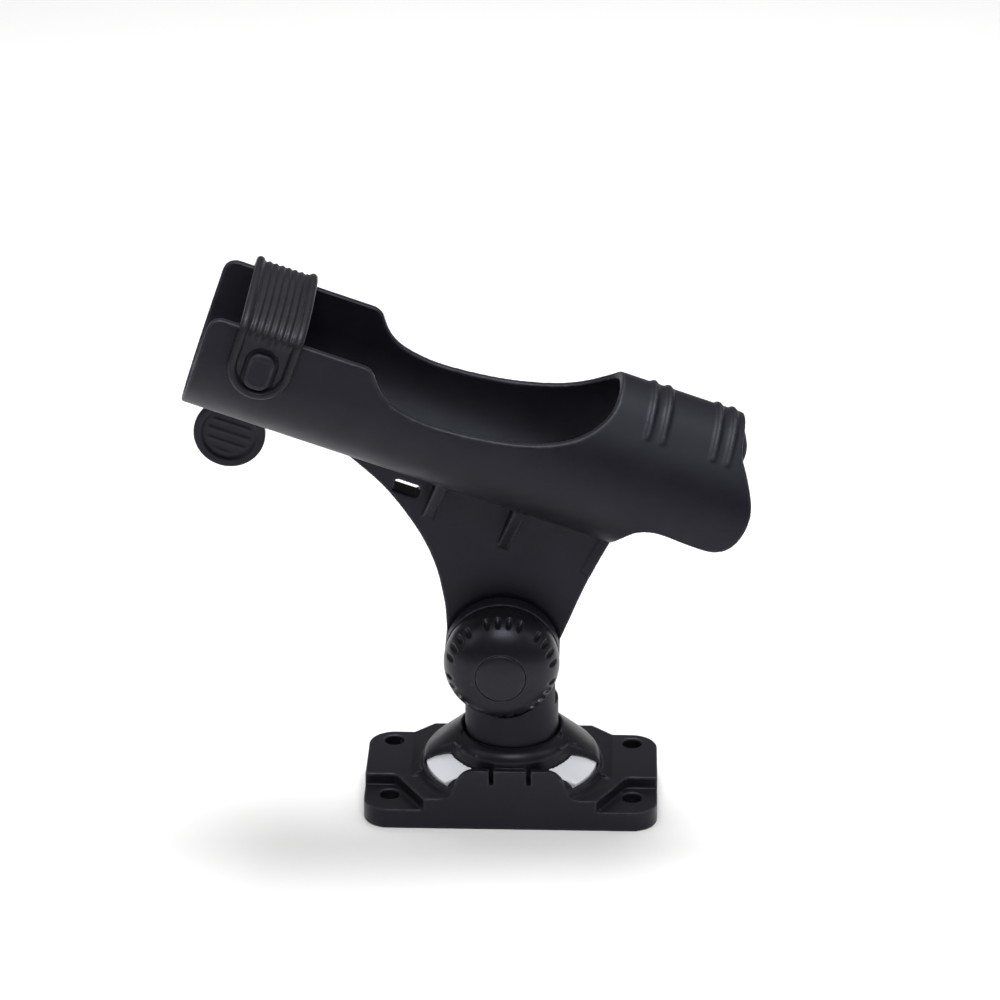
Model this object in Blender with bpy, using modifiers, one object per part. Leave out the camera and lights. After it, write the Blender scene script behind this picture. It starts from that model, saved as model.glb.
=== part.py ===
"""Deck-mounted fishing rod holder: a socket with a lock ring, a post, and an open tube on a tilting arm.

Lengths below are in millimetres and are scaled to metres as each mesh is made. World axes: the origin is
on the deck under the middle of the socket, +X runs along the long side of the base, +Z is up. The cradle
and the strap are drawn in the arm's own axes: the origin on the tilt axis, x along the tube, z square to it.
"""

import math

import bmesh
import bpy
from mathutils import Matrix, Vector

MM = 0.001
GAP = 0.3  # clearance left between pieces that touch

# Base
BASE_LENGTH, BASE_DEPTH, BASE_CORNER = 102.0, 49.5, 9.0
PLATE_TOP, PAD_TOP = 11.7, 7.3
PAD_EDGE_Y = -7.0
SCREW_X, SCREW_ROWS, SCREW_HOLE_R = 42.1, (-13.4, 18.2), 3.3
DOME_R, DOME_TOP_R, DOME_TOP, DOME_SIDE_TOP, DOME_ROUND = 31.6, 17.8, 28.9, 13.5, 7.0
COLLAR_R, SOCKET_R = 21.5, 16.6
WINDOW_FLOOR, WALL_THICK, WALL_TOP = 15.2, 2.45, 22.8
RIDGE_FOOT_X, RIDGE_TOP_X, RIDGE_TOP = 35.2, 28.0, 15.3
NOTCH_X, NOTCH_WIDTH, NOTCH_FLOOR = 6.45, 1.3, 17.3

# Lock ring
EAR_R, EAR_INNER_R, FLANGE_R = 29.9, 21.9, 21.5
RING_LOW, RING_FLANGE_TOP = 5.8, 9.2
EAR_INNER_Z, EAR_OUTER_Z = 20.2, 15.7
EAR_FRONT_Y, EAR_TO_DEG = -19.5, 84.0
POCKET_R, COLLAR_LOW = 30.3, 9.5
LEAF_R, LEAF_THICK = 22.2, 0.5

# Cover under the base
COVER_X, COVER_Y, COVER_CORNER, COVER_THICK = 36.7, 21.7, 5.0, 1.7
COVER_SCREW_X, COVER_SCREW_Y = 33.0, 14.0

# Star foot
STAR_CORE_R, STAR_LOBE_R, STAR_LOBE_DEG = 11.6, 15.7, 15.0
STAR_CLEAR = 0.4
FOOT_LOW, FOOT_KEY_TOP, NECK_TOP, NECK_R = 2.4, 5.4, 9.9, 11.4

# Post and tilt joint
POST_R, POST_LOW, POST_BACK_TOP, POST_TOP = 16.2, 24.3, 39.4, 57.0
PIVOT = Vector((-3.1, 0.0, 60.4))
DISC_R, DISC_CLEAR = 19.7, 1.0
EAR_FRONT, EAR_BACK = -11.2, -5.4
HUB_FRONT, HUB_BACK, BOSS_BACK, BOSS_R = -3.9, 4.5, 10.5, 11.5
TOOTH_HEIGHT, TOOTH_ROOT, TOOTH_COUNT, TOOTH_INNER_R, TOOTH_OUTER_R = 0.6, 0.1, 24, 11.0, 18.6
BOLT_R, BOLT_HOLE_R, HEX_ACROSS, HEX_THICK = 3.8, 4.2, 13.0, 5.0
SPRING_POCKET_R, SPRING_POCKET_DEEP = 8.2, 2.6
SPRING_COIL_R, SPRING_WIRE_R, SPRING_TURNS = 6.4, 0.55, 3

# Knob
KNOB_R, KNOB_DEPTH, KNOB_BACK = 19.8, 16.3, -12.9
KNOB_FULLNESS = 2.2
KNOB_RIM = 1.4  # straight edge of the knob, before its dome starts
CAP_R, CAP_THICK = 8.4, 1.8
INSERT_R, INSERT_LENGTH = 6.0, 10.0
BOLT_TIP = -24.0

# Cradle, in the arm's axes
TILT_DEG = 19.3
AXIS_Z, TUBE_R, TUBE_WALL = 78.9, 28.0, 3.0
TUBE_FRONT, TUBE_REAR = -132.0, 62.0
CHEEK_TOP = 13.2  # height of the front walls above the tube's axis
CHEEK_SQUARENESS = 5.0
ARM_HALF, ARM_ROOT_Z = 4.5, 52.3
SLOT_MIDDLE, SLOT_SIZE = (-50.4, 45.5), (9.0, 4.2)
GUSSETS = ((-40.2, 37.0), (-12.6, 35.5))  # x, and the height of the foot
GUSSET_HALF = 2.0
RIBS, RIB_WIDTH, RIB_HEIGHT, RIB_HALF_DEG = (17.0, 22.2, 40.0, 45.2), 1.8, 0.9, 50.0

# Strap, in the arm's axes, heights above the tube's axis
STRAP_X, STRAP_HALF, STRAP_THICK = -111.5, 10.8, 2.8
BUTTON_Z, BUTTON_WIDTH, BUTTON_HEIGHT = 1.3, 8.8, 12.6
WINDOW_MARGIN = 0.8
WINDOW_TOP_MARGIN = 1.4
STRAP_END_Z, STRAP_CROWN_Z, ARCH_FOOT_Z, ARCH_FULLNESS = -8.6, 19.6, 12.8, 2.3
TAIL_TOP_Z, TAB_Z, TAB_R, TAB_NECK = 12.5, -49.6, 12.5, 5.0
STEM_R = 2.3

ROUND = 48  # facets of a large turned piece
FINE = 24  # facets of a small one
Z_TO_Y = Matrix.Rotation(math.radians(90), 4, "X")

parts = None
cutters = None


def clear_scene():
    """Empties the scene and makes the two collections."""
    global parts, cutters
    for obj in list(bpy.data.objects):
        bpy.data.objects.remove(obj, do_unlink=True)
    parts = bpy.data.collections.new("rod_holder")
    cutters = bpy.data.collections.new("cutters")
    for group in (parts, cutters):
        bpy.context.scene.collection.children.link(group)


def material(name, colour, roughness, metallic=0.0):
    """A Principled material."""
    made = bpy.data.materials.new(name)
    made.use_nodes = True
    shader = made.node_tree.nodes["Principled BSDF"]
    shader.inputs["Base Color"].default_value = (*colour, 1.0)
    shader.inputs["Roughness"].default_value = roughness
    shader.inputs["Metallic"].default_value = metallic
    return made


def piece(name, mesh, parent=None, finish=None):
    """An object in the parts collection, or a hidden cutter where it has no finish."""
    obj = bpy.data.objects.new(name, mesh)
    if finish is None:
        cutters.objects.link(obj)
        obj.hide_render = True
        obj.display_type = "WIRE"
    else:
        parts.objects.link(obj)
        obj.data.materials.append(finish)
        obj.data.set_sharp_from_angle(angle=math.radians(35))
    obj.parent = parent
    return obj


def empty(name, place, tilt_deg=0.0):
    """An empty on a joint's axis."""
    obj = bpy.data.objects.new(name, None)
    parts.objects.link(obj)
    obj.location = place * MM
    obj.rotation_euler = (0.0, math.radians(tilt_deg), 0.0)
    return obj


def finished(mesh, turn=None):
    """Welds and scales a mesh drawn in millimetres, turns it, and points its faces out."""
    shape = bmesh.new()
    shape.from_mesh(mesh)
    bmesh.ops.remove_doubles(shape, verts=shape.verts, dist=0.001)
    bmesh.ops.recalc_face_normals(shape, faces=shape.faces)
    if turn is not None:
        bmesh.ops.transform(shape, matrix=turn, verts=shape.verts)
    bmesh.ops.scale(shape, vec=(MM, MM, MM), verts=shape.verts)
    shape.to_mesh(mesh)
    shape.free()
    mesh.shade_smooth()
    return mesh


def block(low, high):
    """A box between two corners."""
    shape = bmesh.new()
    middle = (Vector(low) + Vector(high)) / 2
    size = Vector(high) - Vector(low)
    bmesh.ops.create_cube(shape, size=1.0, matrix=Matrix.LocRotScale(middle, None, size))
    mesh = bpy.data.meshes.new("block")
    shape.to_mesh(mesh)
    shape.free()
    return finished(mesh)


def rod(radius, start, end, middle=(0.0, 0.0), along="Z", facets=FINE):
    """A cylinder between two heights along Z, or between two depths along Y."""
    shape = bmesh.new()
    centre = Vector((middle[0], middle[1], (start + end) / 2))
    if along == "Y":
        centre = Vector((middle[0], (start + end) / 2, middle[1]))
    place = Matrix.Translation(centre) @ (Z_TO_Y if along == "Y" else Matrix.Identity(4))
    bmesh.ops.create_cone(
        shape, cap_ends=True, segments=facets, radius1=radius, radius2=radius, depth=abs(end - start),
            matrix=place
    )
    mesh = bpy.data.meshes.new("rod")
    shape.to_mesh(mesh)
    shape.free()
    return finished(mesh)


def plate(outline, low, high, along="Z"):
    """A flat outline made solid: in X and Y between two heights, or in X and Z between two depths."""
    curve = bpy.data.curves.new("outline", "CURVE")
    curve.dimensions = "2D"
    curve.fill_mode = "BOTH"
    curve.extrude = abs(high - low) / 2
    spline = curve.splines.new("POLY")
    spline.points.add(len(outline) - 1)
    for point, (x, y) in zip(spline.points, outline):
        point.co = (x, y, 0.0, 1.0)
    spline.use_cyclic_u = True
    holder = bpy.data.objects.new("outline", curve)
    bpy.context.scene.collection.objects.link(holder)
    graph = bpy.context.evaluated_depsgraph_get()
    mesh = bpy.data.meshes.new_from_object(holder.evaluated_get(graph))
    bpy.data.objects.remove(holder, do_unlink=True)
    lift = Matrix.Translation((0.0, 0.0, (low + high) / 2))
    if along == "Y":
        lift = Matrix.Translation((0.0, (low + high) / 2, 0.0)) @ Z_TO_Y
    return finished(mesh, lift)


def turned(profile, facets=ROUND, along="Z", closed=False):
    """A profile of radius and height, listed from the top down the outside, spun with a Screw modifier."""
    mesh = bpy.data.meshes.new("profile")
    edges = [(i, i + 1) for i in range(len(profile) - 1)]
    if closed:
        edges.append((len(profile) - 1, 0))
    mesh.from_pydata([(r, 0.0, z) for r, z in profile], edges, [])
    holder = bpy.data.objects.new("profile", mesh)
    bpy.context.scene.collection.objects.link(holder)
    screw = holder.modifiers.new("Screw", "SCREW")
    screw.steps = screw.render_steps = facets
    screw.use_merge_vertices = True
    screw.merge_threshold = 0.0001
    graph = bpy.context.evaluated_depsgraph_get()
    spun = bpy.data.meshes.new_from_object(holder.evaluated_get(graph))
    bpy.data.objects.remove(holder, do_unlink=True)
    return finished(spun, Z_TO_Y if along == "Y" else None)


def combine(target, mesh, operation, parent=None):
    """Cuts or joins a mesh with an exact Boolean modifier, and returns the cutter."""
    cutter = piece(f"{operation.lower()}_{target.name}", mesh, parent or target.parent)
    step = target.modifiers.new(operation.title(), "BOOLEAN")
    step.operation = operation
    step.solver = "EXACT"
    step.object = cutter
    return cutter


def arc(middle, radius, start_deg, end_deg, steps):
    """Points of an arc in the plane of an outline."""
    turns = [math.radians(start_deg + (end_deg - start_deg) * i / steps) for i in range(steps + 1)]
    return [(middle[0] + radius * math.cos(a), middle[1] + radius * math.sin(a)) for a in turns]


def rounded_box(half_x, half_y, corner, middle=(0.0, 0.0), steps=5):
    """An outline with four round corners."""
    points = []
    for quarter, (sx, sy) in enumerate(((1, 1), (-1, 1), (-1, -1), (1, -1))):
        place = (middle[0] + sx * (half_x - corner), middle[1] + sy * (half_y - corner))
        points += arc(place, corner, 90 * quarter, 90 * quarter + 90, steps)
    return points


def mirrored(outline):
    """The same outline on the other side of X."""
    return [(-x, y) for x, y in reversed(outline)]


def star(core, lobe, half_deg):
    """A round core with four lobes, as the foot and its socket have."""
    points = []
    for quarter in range(4):
        middle = 90 * quarter + 45
        points += arc((0, 0), lobe, middle - half_deg, middle + half_deg, 4)
        points += arc((0, 0), core, middle + half_deg + 6, middle + 84 - half_deg, 3)
    return points


def toothed_ring(front, back, tips):
    """A ring along Y whose face at tips carries radial teeth; its other face is at back."""
    shape = bmesh.new()
    steps = 2 * TOOTH_COUNT
    spokes = []
    for i in range(steps):
        turn = 2 * math.pi * i / steps
        crest = tips if i % 2 else front
        spokes.append(
            [
                shape.verts.new((r * math.cos(turn), y, r * math.sin(turn)))
                for r, y in ((TOOTH_INNER_R, crest), (TOOTH_OUTER_R, crest), (TOOTH_OUTER_R, back),
                    (TOOTH_INNER_R, back))
            ]
        )
    for here, there in zip(spokes, spokes[1:] + spokes[:1]):
        for k in range(4):
            shape.faces.new((here[k], there[k], there[(k + 1) % 4], here[(k + 1) % 4]))
    mesh = bpy.data.meshes.new("teeth")
    shape.to_mesh(mesh)
    shape.free()
    return finished(mesh)


def dome_profile():
    """The socket's outside: a flat rim, a cone and a rounded shoulder down to the plate."""
    slope = math.radians(40)
    shoulder = (DOME_R - DOME_ROUND, DOME_SIDE_TOP)
    round_part = [
        (shoulder[0] + DOME_ROUND * math.cos(a), shoulder[1] + DOME_ROUND * math.sin(a))
        for a in (math.radians(90) - slope, math.radians(30), math.radians(12), 0.0)
    ]
    return [(0.0, DOME_TOP), (DOME_TOP_R, DOME_TOP), *round_part, (DOME_R, 1.0), (0.0, 1.0)]


def build_base(finish):
    """The moulded base with its socket, lock ring cavity, windows and screw holes."""
    half_x, half_y = BASE_LENGTH / 2, BASE_DEPTH / 2
    base = piece("mount_base", block((-half_x - 5, -half_y - 5, 0), (half_x + 5, half_y + 5, PLATE_TOP)),
        None, finish)
    combine(base, turned(dome_profile()), "UNION")
    ridge = [(RIDGE_FOOT_X, 5.0), (RIDGE_FOOT_X, PLATE_TOP), (RIDGE_TOP_X, RIDGE_TOP)]
    combine(base, plate(ridge + mirrored(ridge), -8.0, half_y + 3, "Y"), "UNION")
    arch_side = [(-24.4, 5.0), (-24.4, PLATE_TOP), (-21.8, 12.3), (-20.2, 14.0), (-19.4, 16.4), (-18.0, 19.4)]
    arch_side += [(-15.8, 21.7), (-13.2, WALL_TOP)]
    combine(base, plate(arch_side + mirrored(arch_side), -half_y - 4.0, WALL_THICK - half_y + 0.3, "Y"),
        "UNION")
    outline = rounded_box(half_x, half_y, BASE_CORNER)
    combine(base, plate(outline, 0.0, 40.0), "INTERSECT")
    pad = [(-60.0, PAD_EDGE_Y), (-40.6, PAD_EDGE_Y), (-38.6, PAD_EDGE_Y - 1.0), (-29.7, -half_y),
        (-28.0, -30.0), (-60.0, -30.0)]
    for side in (pad, mirrored(pad)):
        combine(base, plate(side, PAD_TOP, 40.0), "DIFFERENCE")
    for x in (-SCREW_X, SCREW_X):
        for y in SCREW_ROWS:
            combine(base, rod(SCREW_HOLE_R, -1.0, 20.0, (x, y), facets=16), "DIFFERENCE")
    recess = rounded_box(COVER_X + GAP, COVER_Y + GAP, COVER_CORNER + GAP, steps=3)
    combine(base, plate(recess, -1.0, COVER_THICK + GAP), "DIFFERENCE")
    front = WALL_THICK - half_y
    combine(base, rod(FLANGE_R + 0.4, 1.0, COLLAR_LOW, facets=ROUND), "DIFFERENCE")
    ear = [(COLLAR_R, EAR_INNER_Z + 0.8), (POCKET_R, EAR_OUTER_Z + 0.5), (POCKET_R, 1.0), (COLLAR_R, 1.0)]
    pocket = combine(base, turned(ear, closed=True), "DIFFERENCE")
    combine(pocket, block((-40, front, 0), (40, 0.5, 40)), "INTERSECT")
    leaf_room = arc((0, 0), LEAF_R + 1.4, 3, 47, 6) + arc((0, 0), FLANGE_R - 1.0, 47, 3, 6)
    combine(base, plate(leaf_room, 1.0, COLLAR_LOW), "DIFFERENCE")
    combine(base, rod(SOCKET_R, POST_LOW - GAP, 40.0, facets=ROUND), "DIFFERENCE")
    socket = star(STAR_CORE_R + STAR_CLEAR, STAR_LOBE_R + STAR_CLEAR, STAR_LOBE_DEG + 2.0)
    combine(base, plate(socket, COLLAR_LOW - 1.0, POST_LOW + 1.0), "DIFFERENCE")
    left = [(-17.5, 0.0), (-18.4, -9.0), (-26.4, -4.8), (-40.0, -3.6), (-40.0, front)]
    window = combine(base, plate(left + mirrored(left), WINDOW_FLOOR, 40.0), "DIFFERENCE")
    combine(window, turned([(0.0, 41.0), (COLLAR_R, 41.0), (COLLAR_R, 10.0), (0.0, 10.0)]), "DIFFERENCE")
    combine(base, block((-25, -30, WALL_TOP), (25, front + 0.5, 40)), "DIFFERENCE")
    for x in (-NOTCH_X, NOTCH_X):
        low = (x - NOTCH_WIDTH / 2, -30.0, NOTCH_FLOOR)
        combine(base, block(low, (x + NOTCH_WIDTH / 2, front + 0.4, 40.0)), "DIFFERENCE")
    for x in (-COVER_SCREW_X, COVER_SCREW_X):
        for y in (-COVER_SCREW_Y, COVER_SCREW_Y):
            combine(base, rod(1.5, 1.0, 6.0, (x, y), facets=12), "DIFFERENCE")


def build_lock_ring(finish):
    """The pale ring: a flange with a star hole and two raised thumb pads."""
    body = [
        (EAR_INNER_R, EAR_INNER_Z), (EAR_R, EAR_OUTER_Z), (EAR_R, RING_LOW),
        (STAR_CORE_R - 1.0, RING_LOW), (STAR_CORE_R - 1.0, RING_FLANGE_TOP), (EAR_INNER_R, RING_FLANGE_TOP),
    ]
    ring = piece("lock_ring", turned(body, closed=True), None, finish)
    start, end = EAR_TO_DEG - 90.0, 270.0 - EAR_TO_DEG
    behind = arc((0, 0), 70.0, start, end, 12) + arc((0, 0), FLANGE_R, end, start, 32)
    combine(ring, plate(behind, 0.0, 30.0), "DIFFERENCE")
    combine(ring, block((-40, -40, 0), (40, EAR_FRONT_Y, 30)), "DIFFERENCE")
    hole = star(STAR_CORE_R + STAR_CLEAR, STAR_LOBE_R + STAR_CLEAR, STAR_LOBE_DEG + 2.0)
    combine(ring, plate(hole, 0.0, 12.0), "DIFFERENCE")


def build_cover(finish, steel):
    """The cover under the base, its four screws and the leaf spring that clicks on the ring."""
    cover = piece("ring_retainer", plate(rounded_box(COVER_X, COVER_Y, COVER_CORNER, steps=3), 0.0,
        COVER_THICK), None, finish)
    head_r, shank_r, head_top = 2.6, 1.2, 1.2
    profile = [(0.0, 5.4), (shank_r, 5.4), (shank_r, head_top), (head_r, head_top), (head_r, 0.2), (0.0, 0.2)]
    rest = [(FLANGE_R, RING_LOW - GAP), (FLANGE_R, 0.5), (STAR_LOBE_R + 1.5, 0.5),
        (STAR_LOBE_R + 1.5, RING_LOW - GAP)]
    combine(cover, turned(rest, closed=True), "UNION")
    number = 0
    for x in (-COVER_SCREW_X, COVER_SCREW_X):
        for y in (-COVER_SCREW_Y, COVER_SCREW_Y):
            number += 1
            combine(cover, rod(head_r + GAP, -1.0, head_top + 0.2, (x, y), facets=16), "DIFFERENCE")
            combine(cover, rod(1.5, 0.0, 3.0, (x, y), facets=12), "DIFFERENCE")
            screw = piece(f"retainer_screw_{number}", turned(profile, 16), None, steel)
            screw.location = Vector((x, y, 0.0)) * MM
    leaf = arc((0, 0), LEAF_R + LEAF_THICK, 7, 43, 8) + arc((0, 0), LEAF_R, 43, 7, 8)
    piece("detent_spring", plate(leaf, RING_LOW + 0.2, RING_FLANGE_TOP - 0.2), None, steel)


def build_post(finish):
    """The upright: star foot, neck, round body and the toothed disc in front of the arm."""
    foot = [
        (0.0, POST_TOP), (POST_R, POST_TOP), (POST_R, POST_LOW), (NECK_R, POST_LOW), (NECK_R, FOOT_LOW),
            (0.0, FOOT_LOW),
    ]
    post = piece("post", turned(foot), None, finish)
    outline = star(STAR_CORE_R, STAR_LOBE_R, STAR_LOBE_DEG)
    combine(post, plate(outline, FOOT_LOW, FOOT_KEY_TOP), "UNION")
    combine(post, plate(outline, NECK_TOP, POST_LOW + 0.5), "UNION")
    middle = (PIVOT.x, PIVOT.z)
    combine(post, block((-30, EAR_BACK, POST_BACK_TOP), (30, 30, 70)), "DIFFERENCE")
    combine(post, rod(DISC_R + DISC_CLEAR, EAR_BACK, 30.0, middle, "Y", ROUND), "DIFFERENCE")
    combine(post, rod(DISC_R, EAR_FRONT, EAR_BACK, middle, "Y", ROUND), "UNION")
    combine(post, rod(KNOB_R + 1.4, -30.0, EAR_FRONT, middle, "Y", ROUND), "DIFFERENCE")
    teeth = combine(post, toothed_ring(EAR_BACK + TOOTH_ROOT, EAR_BACK - 1.0, EAR_BACK + TOOTH_HEIGHT),
        "UNION")
    teeth.location = PIVOT * MM
    combine(post, rod(SPRING_POCKET_R, EAR_BACK - SPRING_POCKET_DEEP, 0.0, middle, "Y"), "DIFFERENCE")
    combine(post, rod(BOLT_HOLE_R, -20.0, 0.0, middle, "Y"), "DIFFERENCE")


def section(squareness):
    """Points round the tube: a half circle below the axis and a squarer or round half above it."""
    points = []
    for i in range(ROUND):
        turn = 2 * math.pi * i / ROUND
        c, s = math.cos(turn), math.sin(turn)
        power = squareness if s > 0 else 2.0
        reach = TUBE_R / (abs(c) ** power + abs(s) ** power) ** (1 / power)
        points.append((reach * c, AXIS_Z + reach * s))
    return points


def tube_mesh():
    """The open skin of the tube, lofted from square-shouldered in front to round behind."""
    stations = [(TUBE_FRONT, 1.0), (-78.0, 1.0), (-58.0, 0.6), (-40.0, 0.28), (-20.0, 0.08), (0.0, 0.0),
        (TUBE_REAR, 0.0)]
    shape = bmesh.new()
    rings = []
    for x, share in stations:
        squareness = 2.0 + (CHEEK_SQUARENESS - 2.0) * share
        rings.append([shape.verts.new((x, y, z)) for y, z in section(squareness)])
    for here, there in zip(rings, rings[1:]):
        for i in range(ROUND):
            shape.faces.new((here[i], here[(i + 1) % ROUND], there[(i + 1) % ROUND], there[i]))
    mesh = bpy.data.meshes.new("tube")
    shape.to_mesh(mesh)
    shape.free()
    return finished(mesh)


def outward(mesh):
    """Turns the open skin's faces away from the tube's axis."""
    face = mesh.polygons[0]
    if (face.center - Vector((face.center.x, 0.0, AXIS_Z * MM))).dot(face.normal) < 0:
        mesh.flip_normals()
    return mesh


def crosswise(outline, x, half):
    """An outline across the tube, in Y and Z, made solid to both sides of a place along it."""
    mesh = plate(outline, -half, half, "Y")
    mesh.transform(Matrix.Translation((x * MM, 0.0, 0.0)) @ Matrix.Rotation(math.radians(90), 4, "Z"))
    return mesh


def above_axis(points):
    """Moves outline points given as heights above the tube's axis into the arm's axes."""
    return [(x, z + AXIS_Z) for x, z in points]


def build_cradle(arm, finish):
    """The tube with its openings, the arm, the gussets and the toothed hub, as one moulding."""
    cradle = piece("rod_cradle", outward(tube_mesh()), arm, finish)
    wall = cradle.modifiers.new("Wall", "SOLIDIFY")
    wall.thickness = TUBE_WALL * MM
    wall.offset = -1.0
    wall.use_even_offset = True
    corner = 4.5
    opening = [(-140.0, 60.0), (-140.0, CHEEK_TOP - corner)]
    opening += arc((TUBE_FRONT + corner, CHEEK_TOP - corner), corner, 180, 90, 3)
    opening += arc((-79.0, CHEEK_TOP - corner), corner, 90, 20, 3)
    opening += [(-71.8, 6.6), (-68.4, 4.2), (-63.0, 2.2), (-55.3, 1.1), (-47.0, 1.1), (-38.6, 1.8),
        (-30.0, 3.0)]
    opening += [(-22.7, 4.5), (-16.0, 6.5), (-9.9, 9.0), (-4.0, 12.4), (1.0, 17.0), (4.0, 22.0),
        (5.0, 28.0), (5.0, 60.0)]
    combine(cradle, plate(above_axis(opening), -40.0, 40.0, "Y"), "DIFFERENCE")
    rear = [(49.5, 60.0), (49.0, 24.0), (50.0, 20.8), (53.0, 16.7), (56.0, 11.8), (57.8, 7.4), (58.3, 2.6),
        (57.6, -2.6)]
    rear += [(55.8, -7.4), (52.6, -10.7), (48.0, -11.6), (40.0, -11.4), (32.0, -11.2), (27.6, -12.2),
        (24.2, -14.8)]
    rear += [(22.0, -18.6), (20.6, -23.0), (20.0, -40.0), (90.0, -40.0), (90.0, 60.0)]
    combine(cradle, plate(above_axis(rear), -40.0, 40.0, "Y"), "DIFFERENCE")
    left = [(-72.6, ARM_ROOT_Z), (-67.6, 48.2), (-59.4, 44.3), (-52.6, 40.2), (-46.2, 35.6), (-40.6, 31.0),
        (-35.2, 25.6)]
    left += [(-30.4, 19.5), (-26.6, 13.3), (-23.2, 7.0), (-19.4, -2.3)]
    right = [(17.6, 8.9), (18.1, 18.9), (18.5, 27.5), (19.0, 33.9), (19.9, 42.0), (20.6, ARM_ROOT_Z)]
    combine(cradle, plate(left + [(0.0, -15.0)] + right, -ARM_HALF, ARM_HALF, "Y"), "UNION")
    for x, foot in GUSSETS:
        for side in (-1, 1):
            outline = [(side * y, z) for y, z in ((3.5, foot), (3.5, 52.6), (10.0, 54.2), (15.0, 56.8),
                (5.4, foot + 1.0))]
            combine(cradle, crosswise(outline, x, GUSSET_HALF), "UNION")
    for x in RIBS:
        low, high = 90 - RIB_HALF_DEG, 90 + RIB_HALF_DEG
        band = arc((0, AXIS_Z), TUBE_R + RIB_HEIGHT, low, high, 12) + arc((0, AXIS_Z), TUBE_R - 1.0, high,
            low, 12)
        combine(cradle, crosswise(band, x, RIB_WIDTH / 2), "UNION")
    combine(cradle, rod(DISC_R, HUB_FRONT, HUB_BACK + 0.3, (0, 0), "Y", ROUND), "UNION")
    combine(cradle, rod(BOSS_R, 0.0, BOSS_BACK, (0, 0), "Y", ROUND), "UNION")
    front_face = rod(DISC_R + 0.6, -12.0, HUB_FRONT, (0, 0), "Y", ROUND)
    combine(cradle, front_face, "DIFFERENCE")
    combine(cradle, toothed_ring(HUB_FRONT - TOOTH_ROOT, HUB_FRONT + 1.0, HUB_FRONT - TOOTH_HEIGHT), "UNION")
    hexagon = arc((0, 0), (HEX_ACROSS / 2 + GAP) / math.cos(math.pi / 6), 0, 300, 5)
    combine(cradle, plate(hexagon, BOSS_BACK - HEX_THICK - GAP, 20.0, "Y"), "DIFFERENCE")
    combine(cradle, rod(SPRING_POCKET_R, -10.0, HUB_FRONT + SPRING_POCKET_DEEP, (0, 0), "Y"), "DIFFERENCE")
    combine(cradle, rod(BOLT_HOLE_R, -10.0, 20.0, (0, 0), "Y"), "DIFFERENCE")
    slot = rounded_box(SLOT_SIZE[0] / 2, SLOT_SIZE[1] / 2, 1.0, SLOT_MIDDLE, 2)
    combine(cradle, plate(slot, -10.0, 10.0, "Y"), "DIFFERENCE")
    combine(cradle, rod(STEM_R + GAP, -40.0, 40.0, (STRAP_X, AXIS_Z + BUTTON_Z), "Y", 16), "DIFFERENCE")


def dome_depth(radius):
    """How far the knob's dome stands in front of its back face at a radius."""
    rise = (1 - (radius / KNOB_R) ** KNOB_FULLNESS) ** (1 / KNOB_FULLNESS)
    return KNOB_RIM + (KNOB_DEPTH - KNOB_RIM) * rise


def build_tilt_hardware(arm, black, brass, steel):
    """The bolt, spring, washer and knob on the tilt axis."""
    bolt = piece("tilt_bolt", rod(BOLT_R, BOLT_TIP, BOSS_BACK - HEX_THICK + 0.5, (0, 0), "Y"), arm, steel)
    hexagon = arc((0, 0), HEX_ACROSS / 2 / math.cos(math.pi / 6), 0, 300, 5)
    combine(bolt, plate(hexagon, BOSS_BACK - HEX_THICK, BOSS_BACK, "Y"), "UNION")

    coil = bpy.data.curves.new("tilt_spring", "CURVE")
    coil.dimensions = "3D"
    coil.bevel_depth = SPRING_WIRE_R * MM
    coil.bevel_resolution = 2
    coil.use_fill_caps = True
    low = EAR_BACK - SPRING_POCKET_DEEP + SPRING_WIRE_R + GAP
    high = HUB_FRONT + SPRING_POCKET_DEEP - SPRING_WIRE_R - GAP
    steps = 14 * SPRING_TURNS
    spline = coil.splines.new("POLY")
    spline.points.add(steps)
    for i, point in enumerate(spline.points):
        turn = 2 * math.pi * SPRING_TURNS * i / steps
        place = Vector((SPRING_COIL_R * math.cos(turn), low + (high - low) * i / steps,
            SPRING_COIL_R * math.sin(turn)))
        point.co = (*(place * MM), 1.0)
    spring = bpy.data.objects.new("tilt_spring", coil)
    parts.objects.link(spring)
    spring.parent = arm
    coil.materials.append(steel)

    axis = empty("knob_axis", PIVOT)
    washer_r = 12.0
    washer = [(washer_r, 0.5), (washer_r, -0.5), (BOLT_HOLE_R, -0.5), (BOLT_HOLE_R, 0.5)]
    ring = piece("thrust_washer", turned(washer, 32, "Y", closed=True), axis, steel)
    ring.location.y = (EAR_FRONT - GAP - 0.5) * MM

    recess = dome_depth(CAP_R) - CAP_THICK - GAP
    shoulder = recess - 2.0
    profile = [(INSERT_R + GAP, 0.0), (INSERT_R + GAP, shoulder), (BOLT_HOLE_R, shoulder),
        (BOLT_HOLE_R, recess)]
    profile += [(CAP_R + GAP, recess)]
    profile += [(r, dome_depth(r)) for r in (CAP_R + GAP, 11.0, 13.2, 15.2, 16.9, 18.2, 19.2, KNOB_R)]
    profile += [(KNOB_R - 1.0, 0.0)]
    knob = piece("tilt_knob", turned(profile[::-1], 40, "Y", closed=True), axis, black)
    knob.location.y = KNOB_BACK * MM
    insert = [(INSERT_R, 0.3), (INSERT_R, INSERT_LENGTH), (BOLT_R + 0.3, INSERT_LENGTH), (BOLT_R + 0.3, 0.3)]
    bush = piece("knob_insert", turned(list(reversed(insert)), 20, "Y", closed=True), axis, brass)
    bush.location.y = KNOB_BACK * MM
    cap = [(r, dome_depth(r)) for r in (0.0, 3.0, 6.0, CAP_R)] + [(CAP_R, recess + GAP), (0.0, recess + GAP)]
    lid = piece("knob_cap", turned(cap, 32, "Y"), axis, black)
    lid.location.y = KNOB_BACK * MM


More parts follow.
